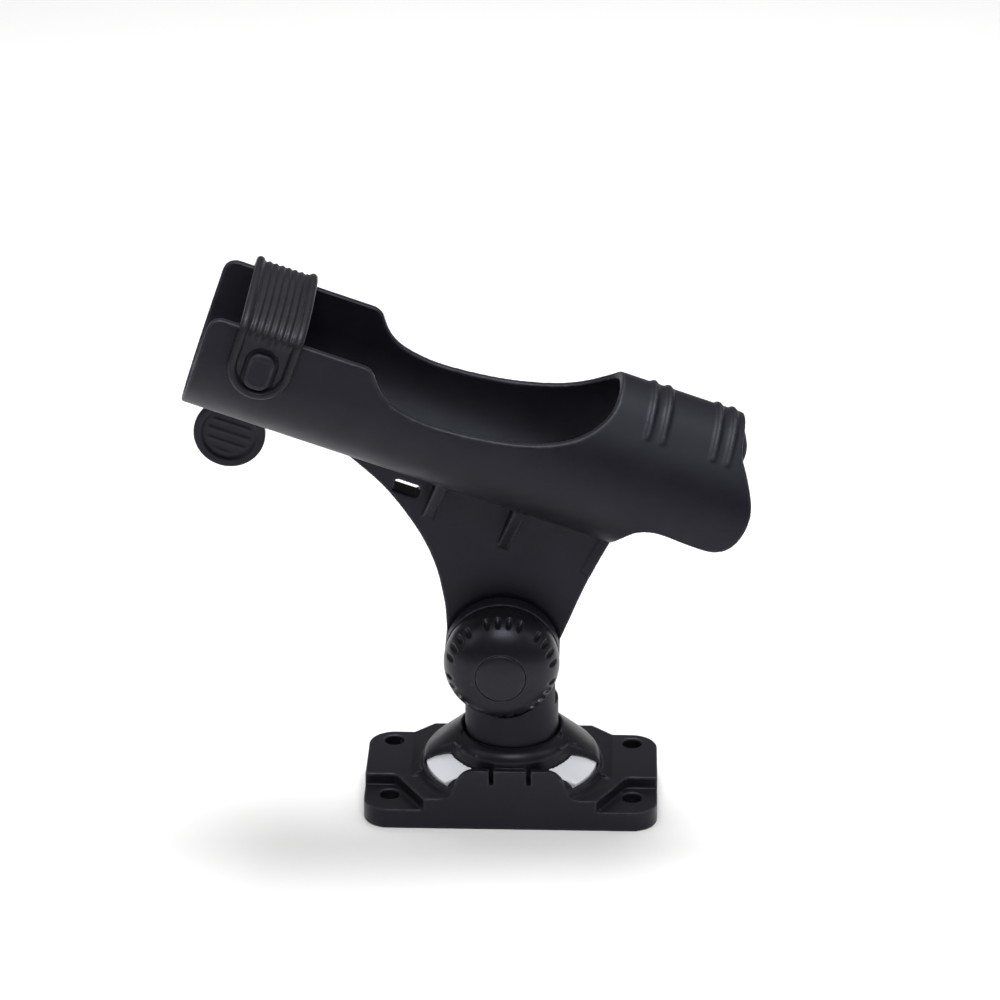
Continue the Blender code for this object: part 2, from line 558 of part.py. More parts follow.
def arch(half_width, crown):
    """The strap's line over the tube, from the near wall to the far one."""
    points = []
    for i in range(17):
        turn = math.radians(180 - 180 * i / 16)
        across = math.copysign(abs(math.cos(turn)) ** (2 / ARCH_FULLNESS), math.cos(turn))
        rise = (crown - ARCH_FOOT_Z) * abs(math.sin(turn)) ** (2 / ARCH_FULLNESS)
        points.append((half_width * across, ARCH_FOOT_Z + rise))
    return points


def build_strap(arm, rubber, black):
    """The strap with its pull tab, the stud it hangs on and the stud its free end goes over."""
    inner = TUBE_R + GAP
    outer = inner + STRAP_THICK
    inside = [(-inner, STRAP_END_Z), *arch(inner, STRAP_CROWN_Z - STRAP_THICK), (inner, TAIL_TOP_Z)]
    outside = [(-outer, STRAP_END_Z), *arch(outer, STRAP_CROWN_Z), (outer, TAIL_TOP_Z)]
    path = inside + outside[::-1]
    band = piece("strap_band", crosswise(above_axis(path), STRAP_X, STRAP_HALF), arm, rubber)
    end = [(STRAP_X + STRAP_HALF + 1, 40.0), (STRAP_X - STRAP_HALF - 1, 40.0),
        (STRAP_X - STRAP_HALF - 1, 1.0)]
    end += arc((STRAP_X, STRAP_END_Z + STRAP_HALF), STRAP_HALF, 180, 360,
        10) + [(STRAP_X + STRAP_HALF + 1, 1.0)]
    combine(band, plate(above_axis(end), -40.0, 40.0, "Y"), "INTERSECT")
    middle = (STRAP_X, AXIS_Z + BUTTON_Z)
    pocket = rounded_box(BUTTON_WIDTH / 2 + WINDOW_MARGIN, BUTTON_HEIGHT / 2 + WINDOW_MARGIN, 4.0, middle, 3)
    combine(band, plate(pocket, -40.0, -inner - 1.2, "Y"), "DIFFERENCE")
    combine(band, rod(STEM_R + GAP, -40.0, 0.0, middle, "Y", 16), "DIFFERENCE")

    head = rounded_box(BUTTON_WIDTH / 2, BUTTON_HEIGHT / 2, 3.6, middle, 3)
    for name, side, low in (("strap_button", -1, inner + 1.5), ("strap_hook", 1, inner)):
        low_y, high_y = sorted((side * low, side * (outer + 1.0)))
        stud = piece(name, plate(head, low_y, high_y, "Y"), arm, black)
        stem = sorted((side * (TUBE_R - TUBE_WALL - 1.0), side * (low + 0.5)))
        combine(stud, rod(STEM_R, *stem, middle, "Y", 16), "UNION")
        rivet = sorted((side * (TUBE_R - TUBE_WALL - GAP), side * (TUBE_R - TUBE_WALL - 1.6)))
        combine(stud, rod(STEM_R + 1.5, *rivet, middle, "Y", 16), "UNION")

    hinge = empty("strap_hinge", Vector((STRAP_X, outer, AXIS_Z + TAIL_TOP_Z)))
    hinge.parent = arm
    neck_low = TAB_Z - TAIL_TOP_Z + math.sqrt(TAB_R**2 - TAB_NECK**2)
    tail_half = STRAP_HALF - 0.6
    side = [(tail_half, -GAP), (tail_half, -26.0), (tail_half - 1.2, -30.0), (TAB_NECK + 0.6, neck_low + 3.0)]
    turn = math.degrees(math.acos(TAB_NECK / TAB_R))
    outline = mirrored(side)[::-1] + arc((0.0, TAB_Z - TAIL_TOP_Z), TAB_R, 180 - turn, 360 + turn,
        20) + side[::-1]
    tail = piece("strap_tail", plate(outline, -STRAP_THICK, 0.0, "Y"), hinge, rubber)
    low = BUTTON_Z - BUTTON_HEIGHT / 2 - WINDOW_MARGIN - TAIL_TOP_Z
    high = BUTTON_Z + BUTTON_HEIGHT / 2 + WINDOW_TOP_MARGIN - TAIL_TOP_Z
    window = rounded_box(BUTTON_WIDTH / 2 + WINDOW_MARGIN, (high - low) / 2, 4.0, (0.0, (low + high) / 2), 3)
    combine(tail, plate(window, -10.0, 10.0, "Y"), "DIFFERENCE")


def main():
    clear_scene()
    black = material("moulded_black", (0.022, 0.022, 0.025), 0.5)
    pale = material("moulded_pale", (0.72, 0.73, 0.78), 0.45)
    rubber = material("rubber", (0.030, 0.030, 0.034), 0.65)
    steel = material("steel", (0.55, 0.55, 0.56), 0.3, 1.0)
    brass = material("brass", (0.75, 0.56, 0.27), 0.3, 1.0)
    build_base(black)
    build_lock_ring(pale)
    build_cover(black, steel)
    build_post(black)
    arm = empty("tilt_axis", PIVOT, TILT_DEG)
    build_cradle(arm, black)
    build_tilt_hardware(arm, black, brass, steel)
    build_strap(arm, rubber, black)


main()
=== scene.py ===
"""Looks for the rod holder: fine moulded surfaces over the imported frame, their materials, light and camera.

Shapes are drawn in millimetres and scaled to metres. Pieces on the arm are drawn in the arm's own axes, with the
origin on the tilt axis, x along the tube and z square to it, and are then turned into place.
"""

import math

import bmesh
import bpy
from mathutils import Matrix, Vector


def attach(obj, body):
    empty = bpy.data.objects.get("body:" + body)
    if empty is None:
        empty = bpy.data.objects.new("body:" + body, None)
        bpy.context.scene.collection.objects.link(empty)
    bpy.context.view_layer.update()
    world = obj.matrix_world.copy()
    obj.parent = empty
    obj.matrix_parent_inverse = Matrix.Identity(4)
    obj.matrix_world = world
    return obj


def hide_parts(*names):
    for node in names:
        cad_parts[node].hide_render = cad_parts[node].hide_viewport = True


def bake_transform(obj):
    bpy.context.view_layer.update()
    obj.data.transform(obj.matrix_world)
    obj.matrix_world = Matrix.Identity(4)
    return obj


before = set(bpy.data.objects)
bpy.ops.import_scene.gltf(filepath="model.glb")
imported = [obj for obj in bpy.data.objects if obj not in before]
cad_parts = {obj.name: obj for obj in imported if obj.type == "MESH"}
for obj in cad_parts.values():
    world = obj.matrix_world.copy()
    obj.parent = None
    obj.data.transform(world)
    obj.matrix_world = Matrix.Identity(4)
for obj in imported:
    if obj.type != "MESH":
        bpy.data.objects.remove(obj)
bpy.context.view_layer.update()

MM = 0.001
PIVOT = Vector((-3.1, 0.0, 60.4))
TILT_DEG = 19.3
ARM = Matrix.Translation(PIVOT) @ Matrix.Rotation(math.radians(TILT_DEG), 4, "Y")
WORLD = Matrix.Identity(4)
TO_Y = Matrix.Rotation(math.radians(90), 4, "X")

TUBE_R, TUBE_WALL, AXIS_Z = 28.0, 3.0, 78.9
STRAP_X = -111.5
BUTTON_Z = 1.3

scratch = bpy.data.collections.new("scratch")
bpy.context.scene.collection.children.link(scratch)
shown = bpy.data.collections.new("shown")
bpy.context.scene.collection.children.link(shown)


# Shapes


def scaled(shape, turn=None):
    """Welds a bmesh in millimetres, points its faces out, and makes it a mesh in metres."""
    bmesh.ops.remove_doubles(shape, verts=shape.verts, dist=0.0005)
    bmesh.ops.recalc_face_normals(shape, faces=shape.faces)
    if turn is not None:
        bmesh.ops.transform(shape, matrix=turn, verts=shape.verts)
    bmesh.ops.scale(shape, vec=(MM, MM, MM), verts=shape.verts)
    mesh = bpy.data.meshes.new("shape")
    shape.to_mesh(mesh)
    shape.free()
    return mesh


def arc(middle, radius, start_deg, end_deg, steps):
    """Points of an arc."""
    turns = [math.radians(start_deg + (end_deg - start_deg) * i / steps) for i in range(steps + 1)]
    return [(middle[0] + radius * math.cos(a), middle[1] + radius * math.sin(a)) for a in turns]


def through(points, steps=8):
    """A smooth line through points."""
    line = []
    padded = [points[0], *points, points[-1]]
    for i in range(1, len(padded) - 2):
        a, b, c, d = (Vector(p) for p in padded[i - 1 : i + 3])
        for k in range(steps):
            t = k / steps
            place = 0.5 * (2 * b + (c - a) * t + (2 * a - 5 * b + 4 * c - d) * t**2 + (3 * b - a - 3 * c + d) * t**3)
            line.append(tuple(place))
    line.append(tuple(points[-1]))
    return line


def mirrored(outline):
    """An outline mirrored in its upright axis."""
    return [(-x, y) for x, y in reversed(outline)]


def rounded_box(half_x, half_y, corner, middle=(0.0, 0.0), steps=12):
    """A rectangle with round corners."""
    points = []
    for quarter, (sx, sy) in enumerate(((1, 1), (-1, 1), (-1, -1), (1, -1))):
        place = (middle[0] + sx * (half_x - corner), middle[1] + sy * (half_y - corner))
        points += arc(place, corner, 90 * quarter, 90 * quarter + 90, steps)
    return points


def star(core, lobe, half_deg):
    """A round core with four lobes."""
    points = []
    for quarter in range(4):
        middle = 90 * quarter + 45
        points += arc((0, 0), lobe, middle - half_deg, middle + half_deg, 8)
        points += arc((0, 0), core, middle + half_deg + 6, middle + 84 - half_deg, 6)
    return points


def plate(outline, low, high, along="Z"):
    """An outline made solid: X and Y between heights, X and Z between depths, or Y and Z between places along X."""
    lifts = {
        "Z": lambda a, b, h: (a, b, h),
        "Y": lambda a, b, h: (a, h, b),
        "X": lambda a, b, h: (h, a, b),
    }
    shape = bmesh.new()
    ends = []
    for level in (low, high):
        ends.append([shape.verts.new(lifts[along](a, b, level)) for a, b in outline])
    for ring in ends:
        shape.faces.new(ring)
    count = len(outline)
    for i in range(count):
        k = (i + 1) % count
        shape.faces.new((ends[0][i], ends[0][k], ends[1][k], ends[1][i]))
    return scaled(shape)


def block(low, high):
    """A box between two corners."""
    outline = [(low[0], low[1]), (high[0], low[1]), (high[0], high[1]), (low[0], high[1])]
    return plate(outline, low[2], high[2])


def turned(profile, facets=160, along="Z", closed=False, middle=(0.0, 0.0)):
    """A profile of radius and height spun round an axis along Z or -Y."""
    shape = bmesh.new()
    rings = []
    for r, z in profile:
        if r < 1e-6:
            rings.append([shape.verts.new((0.0, 0.0, z))])
            continue
        turns = [2 * math.pi * i / facets for i in range(facets)]
        rings.append([shape.verts.new((r * math.cos(a), r * math.sin(a), z)) for a in turns])
    pairs = list(zip(rings, rings[1:]))
    if closed:
        pairs.append((rings[-1], rings[0]))
    for here, there in pairs:
        for i in range(facets):
            k = (i + 1) % facets
            corners = (here[i % len(here)], here[k % len(here)], there[k % len(there)], there[i % len(there)])
            shape.faces.new(list(dict.fromkeys(corners)))
    turn = TO_Y if along == "Y" else Matrix.Identity(4)
    shift = Vector((middle[0], 0.0, middle[1])) if along == "Y" else Vector((middle[0], middle[1], 0.0))
    return scaled(shape, Matrix.Translation(shift) @ turn)


def rod(radius, low, high, middle=(0.0, 0.0), along="Z", facets=96):
    """A cylinder between two heights along Z, or between two depths along Y."""
    if along == "Y":
        low, high = -high, -low
    return turned([(0.0, high), (radius, high), (radius, low), (0.0, low)], facets, along, False, middle)


def linked(mesh):
    """A mesh as a working object."""
    holder = bpy.data.objects.new("work", mesh)
    scratch.objects.link(holder)
    return holder


def evaluated(holder, *others):
    """The object's mesh with its modifiers applied; removes the object and its helpers."""
    graph = bpy.context.evaluated_depsgraph_get()
    made = bpy.data.meshes.new_from_object(holder.evaluated_get(graph))
    for obj in (holder, *others):
        bpy.data.objects.remove(obj, do_unlink=True)
    return made


def carve(mesh, *steps):
    """Cuts, joins or intersects a solid with others, in order."""
    holder = linked(mesh)
    tools = []
    for operation, other in steps:
        tool = linked(other)
        tools.append(tool)
        step = holder.modifiers.new("Boolean", "BOOLEAN")
        step.operation = operation
        step.solver = "EXACT"
        step.object = tool
    return evaluated(holder, *tools)


def moulded(mesh, voxel, rounds):
    """Remeshes a solid finely and softens its edges, as a moulding's are."""
    holder = linked(mesh)
    remesh = holder.modifiers.new("Remesh", "REMESH")
    remesh.mode = "VOXEL"
    remesh.voxel_size = voxel * MM
    soften = holder.modifiers.new("Smooth", "SMOOTH")
    soften.factor = 0.5
    soften.iterations = rounds
    return evaluated(holder)


def show(name, mesh, place, finish, body, slot, *stands_for):
    """Shows a finished mesh as a piece that rides on a body and stands for CAD nodes."""
    obj = bpy.data.objects.new(name, mesh)
    shown.objects.link(obj)
    mesh.transform(Matrix.Scale(MM, 4) @ place @ Matrix.Scale(1 / MM, 4))
    mesh.materials.clear()
    mesh.materials.append(finish)
    mesh.shade_smooth()
    if body:
        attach(obj, body)
    if stands_for:
        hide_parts(*stands_for)
    return obj


def joined(*meshes):
    """Several meshes as one."""
    shape = bmesh.new()
    for mesh in meshes:
        shape.from_mesh(mesh)
    mesh = bpy.data.meshes.new("joined")
    shape.to_mesh(mesh)
    shape.free()
    return mesh


# Materials


def new_material(name):
    """A material, its node tree and its shader."""
    made = bpy.data.materials.new(name)
    made.use_nodes = True
    tree = made.node_tree
    return made, tree, tree.nodes["Principled BSDF"]


def add(tree, kind, **settings):
    """A node with its inputs or properties set."""
    node = tree.nodes.new(kind)
    for key, value in settings.items():
        if key in node.inputs:
            node.inputs[key].default_value = value
        else:
            setattr(node, key, value)
    return node


def noise(tree, where, scale, detail=4.0, rough=0.55):
    node = add(tree, "ShaderNodeTexNoise", Scale=scale, Detail=detail, Roughness=rough)
    tree.links.new(where, node.inputs["Vector"])
    return node.outputs["Fac"]


def ramp(tree, fac, stops):
    node = tree.nodes.new("ShaderNodeValToRGB")
    while len(node.color_ramp.elements) < len(stops):
        node.color_ramp.elements.new(0.5)
    for element, (place, colour) in zip(node.color_ramp.elements, stops):
        element.position = place
        element.color = (*colour, 1.0) if isinstance(colour, tuple) else (colour, colour, colour, 1.0)
    tree.links.new(fac, node.inputs["Fac"])
    return node.outputs["Color"]


def mix(tree, fac, a, b, blend="MIX"):
    node = tree.nodes.new("ShaderNodeMix")
    node.data_type = "RGBA"
    node.blend_type = blend
    for value, socket in ((fac, node.inputs[0]), (a, node.inputs[6]), (b, node.inputs[7])):
        if isinstance(value, bpy.types.NodeSocket):
            tree.links.new(value, socket)
        else:
            socket.default_value = value if isinstance(value, float) else (*value, 1.0)
    return node.outputs[2]


def bump(tree, height, strength, distance, below=None):
    node = add(tree, "ShaderNodeBump", Strength=strength, Distance=distance)
    tree.links.new(height, node.inputs["Height"])
    if below is not None:
        tree.links.new(below, node.inputs["Normal"])
    return node.outputs["Normal"]


def plastic(name, colour, edge_highlight, dusty, rough, grain=0.35, specular=0.5):
    """Moulded nylon: cloudy colour, a painted highlight that lightens sharp edges, patchy gloss, a fine spark-eroded
    grain and a few faint scuffs.
    """
    made, tree, shader = new_material(name)
    where = tree.nodes.new("ShaderNodeTexCoord").outputs["Object"]
    cloud = noise(tree, where, 28.0, 5.0, 0.6)
    base = mix(tree, ramp(tree, cloud, [(0.35, 0.0), (0.7, 1.0)]), colour, dusty)
    # Painted highlight: sharp edges found by pointiness are lightened towards the third colour argument, broken up by
    # fine noise, standing in for the light caught along edges.
    edge = tree.nodes.new("ShaderNodeNewGeometry").outputs["Pointiness"]
    broken = ramp(tree, noise(tree, where, 420.0, 3.0), [(0.4, 0.35), (0.65, 1.0)])
    edge = mix(tree, 1.0, ramp(tree, edge, [(0.505, 0.0), (0.55, 1.0)]), broken, "MULTIPLY")
    base = mix(tree, edge, base, edge_highlight)
    tree.links.new(base, shader.inputs["Base Color"])
    stretch = add(tree, "ShaderNodeMapping", vector_type="POINT")
    stretch.inputs["Scale"].default_value = (30.0, 260.0, 900.0)
    stretch.inputs["Rotation"].default_value = (0.3, 0.5, 0.2)
    tree.links.new(where, stretch.inputs["Vector"])
    scuff = ramp(tree, noise(tree, stretch.outputs["Vector"], 1.0, 3.0, 0.7), [(0.62, 0.0), (0.72, 1.0)])
    patch = ramp(tree, noise(tree, where, 90.0, 4.0), [(0.3, rough - 0.05), (0.75, rough + 0.07)])
    patch = mix(tree, scuff, patch, (rough + 0.12,) * 3)
    tree.links.new(patch, shader.inputs["Roughness"])
    fine = noise(tree, where, 2600.0, 2.0, 0.5)
    wavy = noise(tree, where, 60.0, 2.0, 0.4)
    normal = bump(tree, fine, grain, 0.00006)
    normal = bump(tree, wavy, 0.12, 0.0006, normal)
    tree.links.new(normal, shader.inputs["Normal"])
    shader.inputs["Specular IOR Level"].default_value = specular
    shader.inputs["Specular Tint"].default_value = (0.82, 0.83, 1.0, 1.0)
    return made


def rubber(name, colour, dusty, rough):
    """Moulded rubber: dull, slightly bloomed, with a fine pebbled surface."""
    made, tree, shader = new_material(name)
    where = tree.nodes.new("ShaderNodeTexCoord").outputs["Object"]
    bloom = ramp(tree, noise(tree, where, 65.0, 6.0, 0.65), [(0.35, 0.0), (0.75, 1.0)])
    tree.links.new(mix(tree, bloom, colour, dusty), shader.inputs["Base Color"])
    patch = ramp(tree, noise(tree, where, 150.0, 4.0), [(0.3, rough - 0.06), (0.7, rough + 0.08)])
    tree.links.new(patch, shader.inputs["Roughness"])
    fine = noise(tree, where, 1700.0, 3.0, 0.6)
    lump = noise(tree, where, 240.0, 2.0, 0.5)
    normal = bump(tree, fine, 0.4, 0.00008)
    tree.links.new(bump(tree, lump, 0.15, 0.0004, normal), shader.inputs["Normal"])
    shader.inputs["Specular IOR Level"].default_value = 0.26
    shader.inputs["Specular Tint"].default_value = (0.84, 0.85, 1.0, 1.0)
    return made


def metal(name, colour, dusty, rough, scale):
    """Bare turned or rolled metal with fine tool lines and faint tarnish."""
    made, tree, shader = new_material(name)
    where = tree.nodes.new("ShaderNodeTexCoord").outputs["Object"]
    stain = ramp(tree, noise(tree, where, 120.0, 5.0, 0.6), [(0.45, 0.0), (0.8, 1.0)])
    tree.links.new(mix(tree, stain, colour, dusty), shader.inputs["Base Color"])
    stretch = add(tree, "ShaderNodeMapping", vector_type="POINT")
    stretch.inputs["Scale"].default_value = scale
    tree.links.new(where, stretch.inputs["Vector"])
    lines = noise(tree, stretch.outputs["Vector"], 1.0, 3.0, 0.6)
    tree.links.new(ramp(tree, lines, [(0.3, rough - 0.06), (0.7, rough + 0.1)]), shader.inputs["Roughness"])
    tree.links.new(bump(tree, lines, 0.25, 0.00004), shader.inputs["Normal"])
    shader.inputs["Metallic"].default_value = 1.0
    return made


# The third colour of each nylon is its painted edge highlight.
BLACK = plastic(
    "nylon_black", (0.0062, 0.0060, 0.0094), (0.036, 0.036, 0.044),
    (0.0086, 0.0084, 0.0124), 0.47, 0.3, 0.24,
)
BASE_BLACK = plastic(
    "nylon_base", (0.0066, 0.0064, 0.0086), (0.040, 0.040, 0.047),
    (0.0100, 0.0098, 0.0122), 0.36, 0.3, 0.26,
)
KNOB_BLACK = plastic(
    "nylon_knob", (0.0058, 0.0057, 0.0070), (0.024, 0.024, 0.027),
    (0.0080, 0.0080, 0.0094), 0.32, 0.3, 0.28,
)
PALE = plastic("nylon_pale", (0.84, 0.85, 0.90), (0.90, 0.91, 0.93), (0.78, 0.79, 0.85), 0.42, 0.2)
RUBBER = rubber("rubber_strap", (0.0078, 0.0078, 0.0104), (0.0130, 0.0130, 0.0160), 0.44)
STEEL = metal("stainless", (0.56, 0.56, 0.57), (0.42, 0.41, 0.40), 0.28, (900.0, 120.0, 900.0))
BRASS = metal("brass_bush", (0.72, 0.53, 0.25), (0.48, 0.33, 0.15), 0.30, (900.0, 120.0, 900.0))


# Base

HALF_X, HALF_Y = 51.0, 24.75
FRONT = 2.45 - HALF_Y
DECK_HOLE_X, DECK_HOLE_ROWS = 42.1, (-13.4, 18.2)
COLLAR_R = 21.5
STAR_CORE, STAR_LOBE, STAR_HALF_DEG = 11.6, 15.7, 15.0
COVER_SCREWS = [(x, y) for x in (-33.0, 33.0) for y in (-14.0, 14.0)]


def base_mesh():
    """The base: deck plate, dome, notched front wall, socket, windows and deck holes."""
    plate_top, pad_top, dome_r = 11.7, 7.3, 31.6
    slope = 40.0
    shoulder = arc((dome_r - 7.0, 13.5), 7.0, 90 - slope, 7, 14)
    skirt = [*arc((dome_r + 2.6, 14.3), 2.65, 180, 270, 8), (dome_r + 2.6, 1.0)]
    dome = turned([(0.0, 28.9), (17.8, 28.9), *shoulder, *skirt, (0.0, 1.0)], 240)
    ridge = [(35.2, 5.0), (35.2, plate_top), (28.0, 15.3)]
    ridge = plate(ridge + mirrored(ridge), -8.0, HALF_Y + 3, "Y")
    outline = plate(rounded_box(HALF_X, HALF_Y, 9.0), 0.0, 40.0)
    side = through([(-24.4, 11.7), (-21.8, 12.3), (-20.2, 14.0), (-19.4, 16.4), (-18.0, 19.4), (-15.8, 21.7),
        (-13.2, 22.8)])
    side = [(-24.4, 5.0), *side]
    arch = plate(side + mirrored(side), -HALF_Y - 4.0, FRONT + 0.3, "Y")
    steps = [("UNION", dome), ("UNION", ridge), ("UNION", arch), ("INTERSECT", outline)]
    low_x = [(-60.0, -7.0), *arc((-41.6, -9.6), 2.6, 90, 28, 5), (-29.7, -HALF_Y), (-28.0, -30.0), (-60.0, -30.0)]
    for side in (low_x, mirrored(low_x)):
        steps.append(("DIFFERENCE", plate(side, pad_top, 40.0)))
    for x in (-DECK_HOLE_X, DECK_HOLE_X):
        for y in DECK_HOLE_ROWS:
            top = pad_top if y < 0 else plate_top
            sink = [(0.0, 20.0), (3.6, 20.0), (3.6, top - 0.1), (3.3, top - 0.4), (3.3, -1.0), (0.0, -1.0)]
            steps.append(("DIFFERENCE", turned(sink, 64, "Z", False, (x, y))))
    steps.append(("DIFFERENCE", plate(rounded_box(37.0, 22.0, 5.3), -1.0, 2.0)))
    steps.append(("DIFFERENCE", rod(21.9, 1.0, 9.5)))
    ear = turned([(COLLAR_R, 21.0), (30.3, 16.2), (30.3, 1.0), (COLLAR_R, 1.0)], 240, closed=True)
    pocket = carve(ear, ("INTERSECT", block((-40, FRONT, 0), (40, 0.5, 40))))
    steps.append(("DIFFERENCE", pocket))
    room = arc((0, 0), 23.6, 3, 47, 16) + arc((0, 0), 20.5, 47, 3, 16)
    steps.append(("DIFFERENCE", plate(room, 1.0, 9.5)))
    steps.append(("DIFFERENCE", turned([(0.0, 40.0), (17.4, 40.0), (17.4, 28.5), (16.6, 27.7), (16.6, 24.0),
        (0.0, 24.0)])))
    steps.append(("DIFFERENCE", plate(star(STAR_CORE + 0.4, STAR_LOBE + 0.4, STAR_HALF_DEG + 2), 8.5, 25.3)))
    left = [(-17.5, 0.0), (-17.8, -8.6), (-18.8, -9.0), (-26.4, -4.8), (-40.0, -3.6), (-40.0, FRONT)]
    window = plate(left + mirrored(left), 15.2, 40.0)
    collar = turned([(0.0, 41.0), (COLLAR_R, 41.0), (COLLAR_R, 10.0), (0.0, 10.0)], 240)
    steps.append(("DIFFERENCE", carve(window, ("DIFFERENCE", collar))))
    ring = turned([(15.0, 33.0), (15.0, 27.8), (16.9, 27.8), *arc((17.0, 23.3), 4.5, 90, 0, 14), (COLLAR_R, 15.0),
        (40, 15), (40, 33)], 240, closed=True)
    lip = carve(ring, ("INTERSECT", block((-17.6, FRONT, 10), (17.6, -5.0, 36))))
    steps.append(("DIFFERENCE", lip))
    steps.append(("DIFFERENCE", block((-25, -30, 22.8), (25, FRONT + 0.5, 40))))
    for x in (-6.45, 6.45):
        steps.append(("DIFFERENCE", block((x - 0.7, -30, 17.3), (x + 0.7, FRONT + 0.4, 40))))
    steps.append(("UNION", block((-5.2, FRONT - 0.4, 14.0), (5.2, -20.6, 22.1))))
    for place in COVER_SCREWS:
        steps.append(("DIFFERENCE", rod(1.5, 1.0, 6.0, place, facets=24)))
    slab = block((-56, -30, 0), (56, 30, plate_top))
    return moulded(carve(slab, *steps), 0.36, 7)


def ring_mesh():
    """The lock ring: a flange round the foot and a pad at each side of the front."""
    body = [(21.9, 20.2), (29.9, 15.7), (29.9, 5.8), (10.6, 5.8), (10.6, 9.2), (21.9, 9.2)]
    start, end = -6.0, 186.0
    behind = arc((0, 0), 70.0, start, end, 24) + arc((0, 0), COLLAR_R, end, start, 80)
    steps = [
        ("DIFFERENCE", plate(behind, 0.0, 30.0)),
        ("DIFFERENCE", block((-40, -40, 0), (40, -19.5, 30))),
        ("DIFFERENCE", plate(star(STAR_CORE + 0.4, STAR_LOBE + 0.4, STAR_HALF_DEG + 2), 0.0, 12.0)),
    ]
    return moulded(carve(turned(body, 200, closed=True), *steps), 0.3, 4)


def cover_mesh():
    """The cover under the base, ribbed below, with the rest of the lock ring above."""
    steps = [("UNION", turned([(COLLAR_R, 5.5), (COLLAR_R, 0.5), (17.2, 0.5), (17.2, 5.5)], closed=True))]
    for place in COVER_SCREWS:
        steps.append(("DIFFERENCE", rod(2.9, -1.0, 1.4, place, facets=48)))
        steps.append(("DIFFERENCE", rod(1.5, 0.0, 3.0, place, facets=24)))
    for i in range(8):
        turn = math.radians(22.5 + 45 * i)
        rib = Matrix.Rotation(turn, 4, "Z") @ Matrix.Translation((12.0, 0.0, 0.0))
        groove = block((-5.5, -0.7, -1.0), (5.5, 0.7, 0.4))
        groove.transform(Matrix.Scale(MM, 4) @ rib @ Matrix.Scale(1 / MM, 4))
        steps.append(("DIFFERENCE", groove))
    edge = plate(rounded_box(36.7, 21.7, 5.0), 0.0, 1.7)
    return moulded(carve(edge, *steps), 0.36, 3)


def screw_mesh():
    """A cover screw with a cross slot and a few thread crests."""
    profile = [(0.0, 5.4), (0.5, 5.2), (1.2, 3.9), (1.2, 1.4), (1.5, 1.2), (2.45, 1.2), (2.6, 0.95), (2.45, 0.45),
        (1.9, 0.22), (0.0, 0.2)]
    thread = []
    for z in (2.0, 2.7, 3.4, 4.1):
        thread.append(turned([(1.0, z + 0.3), (1.38, z), (1.0, z - 0.3)], 32, closed=True))
    cross = [
        ("DIFFERENCE", block((-1.3, -0.28, -1.0), (1.3, 0.28, 0.75))),
        ("DIFFERENCE", block((-0.28, -1.3, -1.0), (0.28, 1.3, 0.75))),
    ]
    return joined(carve(turned(profile, 48), *cross), *thread)


# Post

DISC_R = 19.7
EAR_FRONT, EAR_BACK = -11.2, -5.4
HUB_FRONT, HUB_BACK, BOSS_BACK, BOSS_R = -3.9, 4.5, 10.5, 11.5
TOOTH_R = (11.0, 18.6)


def teeth(front, back, tips, count=24):
    """A ring along Y with radial teeth whose crests reach tips."""
    shape = bmesh.new()
    spokes = []
    for i in range(4 * count):
        turn = 2 * math.pi * i / (4 * count)
        crest = (front, (front + tips) / 2, tips, (front + tips) / 2)[i % 4]
        corners = ((TOOTH_R[0], crest), (TOOTH_R[1], crest), (TOOTH_R[1], back), (TOOTH_R[0], back))
        spokes.append([shape.verts.new((r * math.cos(turn), y, r * math.sin(turn))) for r, y in corners])
    for here, there in zip(spokes, spokes[1:] + spokes[:1]):
        for k in range(4):
            shape.faces.new((here[k], there[k], there[(k + 1) % 4], here[(k + 1) % 4]))
    return scaled(shape)


def post_mesh():
    """The post: lobed foot, neck, column and toothed disc."""
    middle = (PIVOT.x, PIVOT.z)
    foot = [(0.0, 57.0), (16.2, 57.0), (16.2, 24.8), (15.7, 24.3), (11.4, 24.3), (11.4, 2.8), (11.0, 2.4), (0.0, 2.4)]
    lobes = star(STAR_CORE, STAR_LOBE, STAR_HALF_DEG)
    crest = teeth(EAR_BACK + 0.1, EAR_BACK - 1.0, EAR_BACK + 0.6)
    crest.transform(Matrix.Translation(PIVOT * MM))
    steps = [
        ("UNION", plate(lobes, 2.4, 5.4)),
        ("UNION", plate(lobes, 9.9, 24.8)),
        ("DIFFERENCE", block((-30, EAR_BACK, 39.4), (30, 30, 70))),
        ("DIFFERENCE", rod(DISC_R + 1.0, EAR_BACK, 30.0, middle, "Y", 200)),
        ("UNION", rod(DISC_R, EAR_FRONT, EAR_BACK, middle, "Y", 200)),
        ("DIFFERENCE", rod(21.2, -30.0, EAR_FRONT, middle, "Y", 200)),
        ("UNION", crest),
        ("DIFFERENCE", rod(8.2, EAR_BACK - 2.6, 0.0, middle, "Y")),
        ("DIFFERENCE", rod(4.2, -20.0, 0.0, middle, "Y")),
    ]
    return moulded(carve(turned(foot, 200), *steps), 0.36, 5)


# Cradle, in the arm's axes


def smooth_share(x, start, end):
    t = min(1.0, max(0.0, (x - start) / (end - start)))
    return t * t * (3 - 2 * t)


